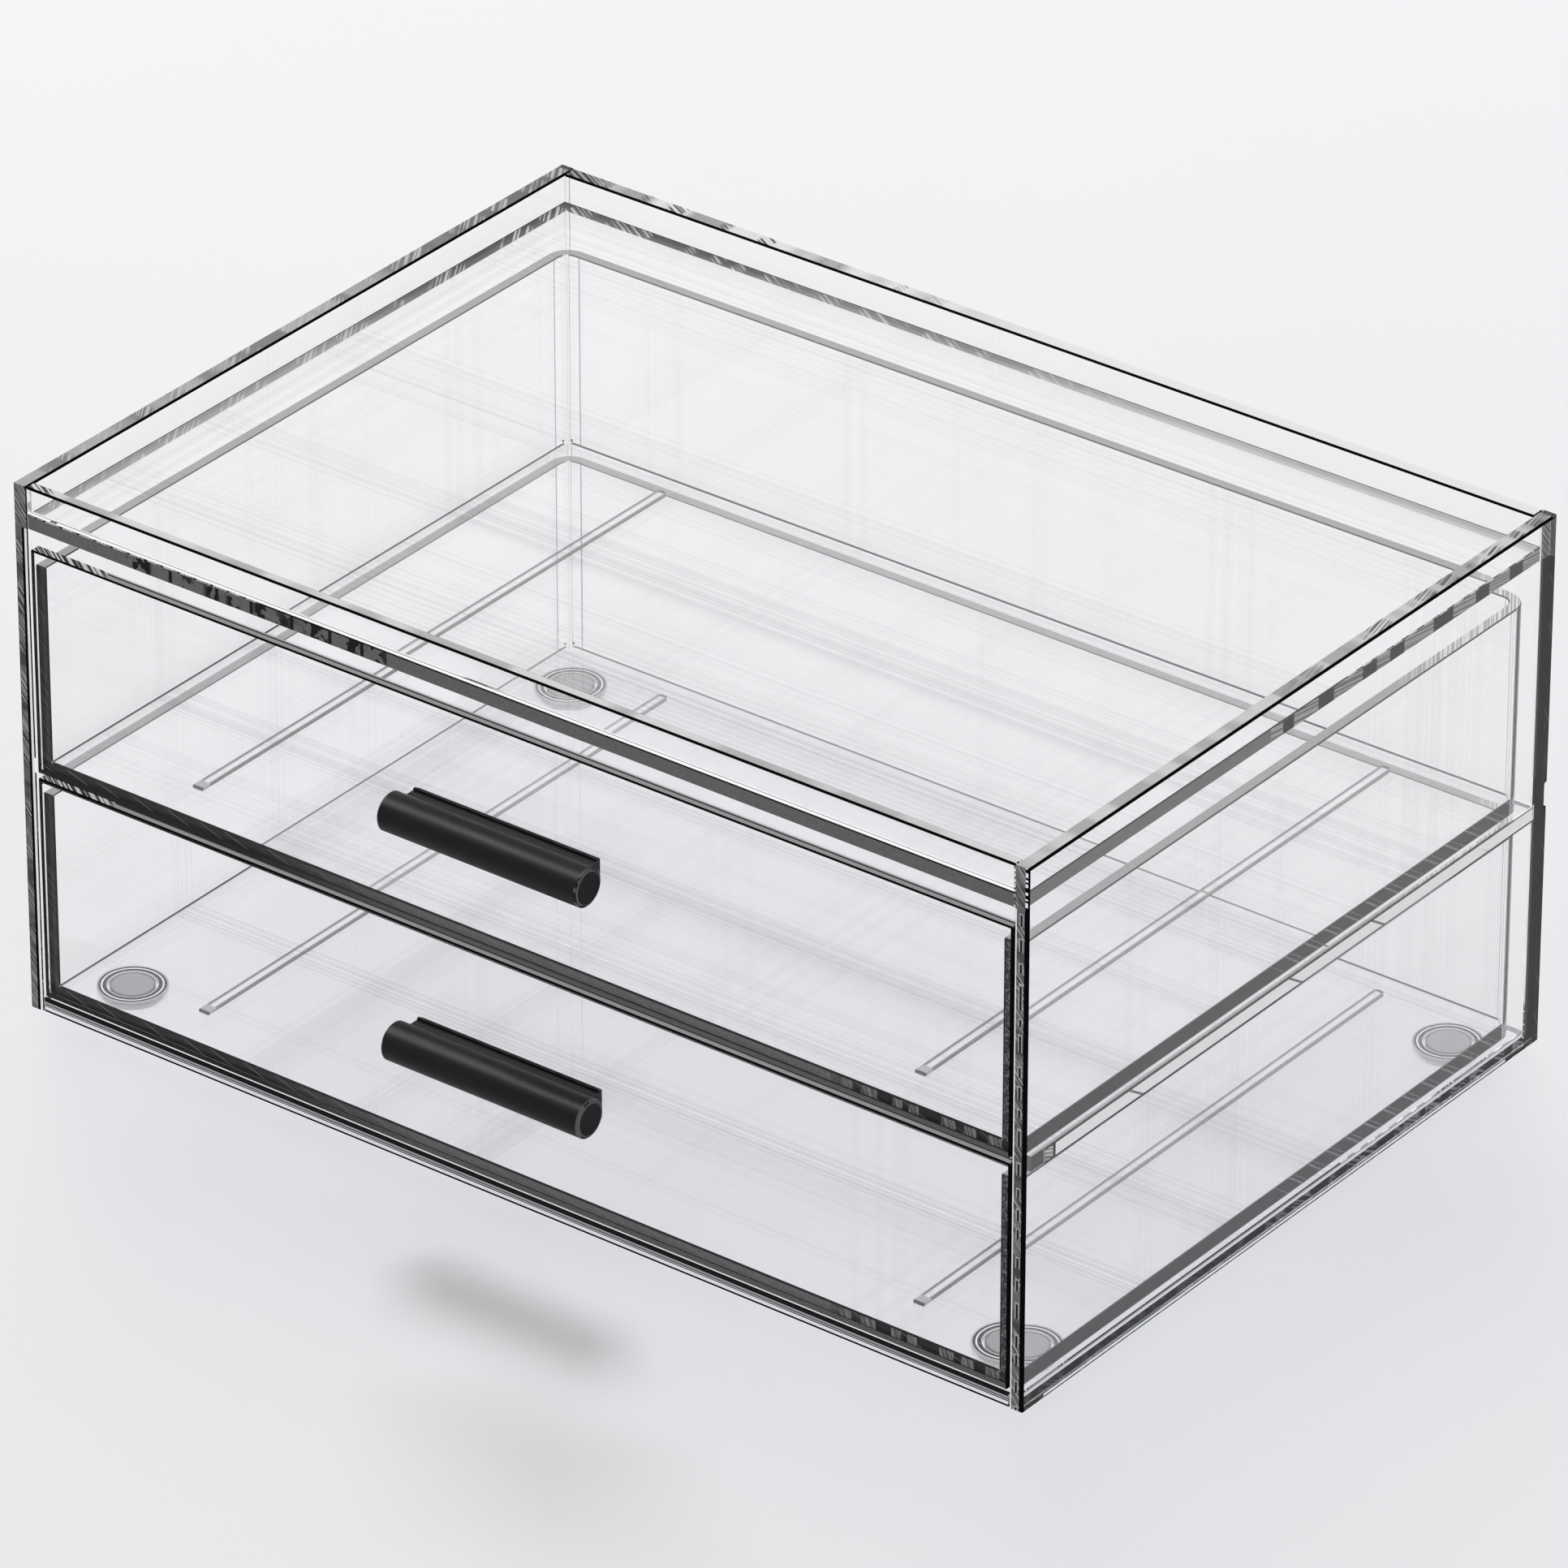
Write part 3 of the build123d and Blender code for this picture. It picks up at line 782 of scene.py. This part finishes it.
def foot_sheet(node):
    """A clear bumper foot: bright inner rings of painted light, thin grey lines of painted shade
    round its rim.
    """
    foot = Sheet(node)
    ring_dull, ring_bright, top_grey, base_grey = 0.92, 1.0, 0.50, 0.40
    top_line, base_line = 0.3 * MM, 0.35 * MM
    share = ringed(foot, node, (X, Y))
    grain = foot.noise_3d(scale=2500)
    ring = foot.between(share, low=0.60, high=0.72)
    foot.paint(ring, foot.blend(grain, ring_dull, ring_bright))
    foot.paint(foot.between(share, low=0.83, high=0.88), WHITE)
    rim = foot.above(share, limit=0.95)
    top = foot.above(foot.at[Z], foot.high.z - top_line)
    base = foot.below(foot.at[Z], foot.low.z + base_line)
    foot.paint(foot.both(rim, top), top_grey)
    foot.paint(foot.both(rim, base), base_grey)
    return foot.made()


# ---------------------------------------------------------------- opaque pieces

class Solid(Nodes):
    """An opaque finish whose tone, gloss and height vary with a fine grain."""

    def __init__(self, name, dark, light, rough, scale, bump=0.0, stretch=(1, 1, 1), metal=0.0):
        super().__init__(name)
        self.body = self.add("ShaderNodeBsdfPrincipled")
        self.grain = self.noise_3d(scale, stretch=stretch)
        self.colour = self.tint(self.grain, dark, light)
        grained = self.blend(self.grain, rough - GRAIN_ROUGHNESS, rough + GRAIN_ROUGHNESS)
        self.put(grained, self.body.inputs["Roughness"])
        self.body.inputs["Metallic"].default_value = metal
        self.body.inputs["Specular IOR Level"].default_value = METAL_SHINE if metal else SATIN
        if bump:
            lift = self.add("ShaderNodeBump")
            lift.inputs["Strength"].default_value = bump
            lift.inputs["Distance"].default_value = GRAIN_HEIGHT
            self.put(self.grain, lift.inputs["Height"])
            self.put(lift.outputs[0], self.body.inputs["Normal"])

    def paint(self, mask, colour):
        self.colour = self.tint(mask, self.colour, colour)

    def made(self):
        self.put(self.colour, self.body.inputs["Base Color"])
        out = self.add("ShaderNodeOutputMaterial")
        self.put(self.body.outputs[0], out.inputs["Surface"])
        return self.material


def bar_solid(node):
    """Satin black anodised bar, with a patchy painted highlight round the rims of its ends."""
    bar = Solid(
        node,
        dark=(0.003, 0.003, 0.0033),
        light=(0.010, 0.010, 0.011),
        rough=0.42,
        scale=1100,
        bump=0.12,
        stretch=BRUSHED,
    )
    low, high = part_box(node)
    # Painted highlight: a light rim round each end of the bar, broken into patches by noise
    painted_highlight = (0.10, 0.10, 0.104)
    rim = 0.5 * MM
    ends = bar.either(bar.near(X, low.x, rim), bar.near(X, high.x, rim))
    patchy = bar.above(bar.noise_3d(scale=260), limit=0.46)
    bar.paint(bar.both(ends, patchy), painted_highlight)
    return bar.made()


def rail_solid(node):
    """The rail behind the bar: painted shade makes its back plate black, and painted light makes
    its web, which faces up, greyer.
    """
    # The grain greys, lighter than the bar's, are painted light on the web, which faces up
    rail = Solid(
        node,
        dark=(0.010, 0.010, 0.011),
        light=(0.024, 0.024, 0.026),
        rough=0.42,
        scale=1100,
        bump=0.12,
        stretch=BRUSHED,
    )
    low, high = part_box(node)
    # The back plate is painted near-black as shade
    plate_shade = (0.004, 0.004, 0.004)
    end_colour = (0.03, 0.03, 0.031)
    plate_thickness, end_skin = 1.1 * MM, 0.35 * MM
    rail.paint(rail.near(Y, high.y, plate_thickness), plate_shade)
    ends = rail.either(rail.near(X, low.x, end_skin), rail.near(X, high.x, end_skin))
    rail.paint(ends, end_colour)
    return rail.made()


def cap_solid(node):
    """End cap: grained dark disc with a thin painted highlight round its rim."""
    cap = Solid(
        node,
        dark=(0.010, 0.010, 0.011),
        light=(0.026, 0.026, 0.028),
        rough=0.55,
        scale=1600,
        bump=0.25,
    )
    painted_highlight = (0.13, 0.13, 0.135)
    cap.paint(cap.above(ringed(cap, node, (Y, Z)), limit=0.92), painted_highlight)
    return cap.made()


def tape_solid(node):
    """Black foam tape behind the rail."""
    dark = (0.006, 0.006, 0.006)
    light = (0.02, 0.02, 0.02)
    return Solid(node, dark, light, rough=0.85, scale=3000, bump=0.3).made()


def screw_solid(node):
    """Zinc plated screws."""
    dark = (0.40, 0.40, 0.41)
    light = (0.6, 0.6, 0.61)
    return Solid(node, dark, light, rough=0.3, scale=2000, metal=1.0).made()


def disc_solid(node):
    """Frosted adhesive disc with a darker cut edge."""
    dark = (0.24, 0.24, 0.244)
    light = (0.48, 0.48, 0.49)
    cut_edge = (0.14, 0.14, 0.14)
    disc = Solid(node, dark, light, rough=0.6, scale=2400, bump=0.2)
    disc.paint(disc.above(ringed(disc, node, (X, Y)), limit=0.93), cut_edge)
    return disc.made()


# The first key that a node's name holds gives its finish
FINISHES = (
    ("handle_cap", cap_solid),
    ("handle_tape", tape_solid),
    ("handle_screws", screw_solid),
    ("handle_rail", rail_solid),
    ("handle_bar", bar_solid),
    ("foot_pad", disc_solid),
    ("foot_", foot_sheet),
    ("_side", side_wall_sheet),
    ("case_back_panel", back_sheet),
    ("case_top_panel", top_sheet),
    ("case_floor_panel", floor_sheet),
    ("case_mid_shelf", shelf_sheet),
    ("case_front_rim", rim_sheet),
    ("drawer_front", front_sheet),
    ("drawer_tray", tray_sheet),
    ("slide_strip", strip_sheet),
)

for node, obj in nodes.items():
    make = next(make for key, make in FINISHES if key in node)
    dress(obj, make(node))


# ---------------------------------------------------------------- studio

def make_camera():
    azimuth = math.radians(CAMERA_AZIMUTH)
    elevation = math.radians(CAMERA_ELEVATION)
    back = Vector((
        math.sin(azimuth) * math.cos(elevation),
        -math.cos(azimuth) * math.cos(elevation),
        math.sin(elevation),
    ))
    right = Vector((math.cos(azimuth), math.sin(azimuth), 0))
    up = back.cross(right)
    turn = Matrix((right, up, back)).transposed()
    data = bpy.data.cameras.new("camera")
    data.lens = CAMERA_LENS
    data.sensor_width = SENSOR
    data.clip_start = 0.1
    data.clip_end = 100
    camera = bpy.data.objects.new("camera", data)
    bpy.context.scene.collection.objects.link(camera)
    roll = Matrix.Rotation(math.radians(CAMERA_ROLL), 3, "Z")
    camera.matrix_world = Matrix.Translation(CAMERA_AT) @ (turn @ roll).to_4x4()
    bpy.context.scene.camera = camera


def make_floor():
    reach = 6.0
    dark = (0.84, 0.84, 0.85)
    light = (0.87, 0.87, 0.88)
    corners = [(-reach, -reach, 0), (reach, -reach, 0), (reach, reach, 0), (-reach, reach, 0)]
    mesh = bpy.data.meshes.new("floor")
    mesh.from_pydata(corners, [], [(0, 1, 2, 3)])
    floor = bpy.data.objects.new("floor", mesh)
    bpy.context.scene.collection.objects.link(floor)
    dress(floor, Solid("floor", dark, light, rough=0.6, scale=3).made())


def make_lamp(name, place, size, watts, lights=True):
    """A soft square lamp aimed at the object, or one that shows only in glossy surfaces."""
    data = bpy.data.lights.new(name, "AREA")
    data.shape = "SQUARE"
    data.size = size
    data.energy = watts
    lamp = bpy.data.objects.new(name, data)
    bpy.context.scene.collection.objects.link(lamp)
    lamp.location = place
    lamp.rotation_euler = (-Vector(place)).to_track_quat("-Z", "Y").to_euler()
    lamp.visible_diffuse = lights
    lamp.visible_glossy = not lights
    lamp.visible_transmission = False


def make_world(light, shown):
    """Even sky: one strength lights the object, another is what glass and metal show."""
    world = bpy.data.worlds.new("studio")
    world.use_nodes = True
    tree = world.node_tree
    back = tree.nodes["Background"]
    path = tree.nodes.new("ShaderNodeLightPath")
    seen = tree.nodes.new("ShaderNodeMath")
    seen.operation = "ADD"
    tree.links.new(path.outputs["Is Camera Ray"], seen.inputs[0])
    tree.links.new(path.outputs["Is Glossy Ray"], seen.inputs[1])
    more = tree.nodes.new("ShaderNodeMath")
    more.operation = "ADD"
    more.use_clamp = True
    tree.links.new(seen.outputs[0], more.inputs[0])
    tree.links.new(path.outputs["Is Transmission Ray"], more.inputs[1])
    strength = tree.nodes.new("ShaderNodeMix")
    share, first, second = (strength.inputs[index] for index in MIX_NUMBERS)
    tree.links.new(more.outputs[0], share)
    first.default_value = light
    second.default_value = shown
    tree.links.new(strength.outputs[0], back.inputs["Strength"])
    back.inputs["Color"].default_value = SKY
    bpy.context.scene.world = world


make_camera()
make_floor()
make_lamp("key", place=(-2.7, 2.7, 3.7), size=1.6, watts=185)
make_lamp("fill", place=(2.6, -2.6, 2.0), size=1.6, watts=30)
make_lamp("glint", place=(-1.35, -0.50, 2.05), size=0.9, watts=50, lights=False)
make_world(light=0.46, shown=1.0)

scene = bpy.context.scene
scene.view_settings.view_transform = "Standard"
scene.cycles.max_bounces = MOST_BOUNCES
scene.cycles.transmission_bounces = MOST_BOUNCES
scene.cycles.glossy_bounces = MOST_BOUNCES
scene.cycles.transparent_max_bounces = MOST_CLEAR_HITS
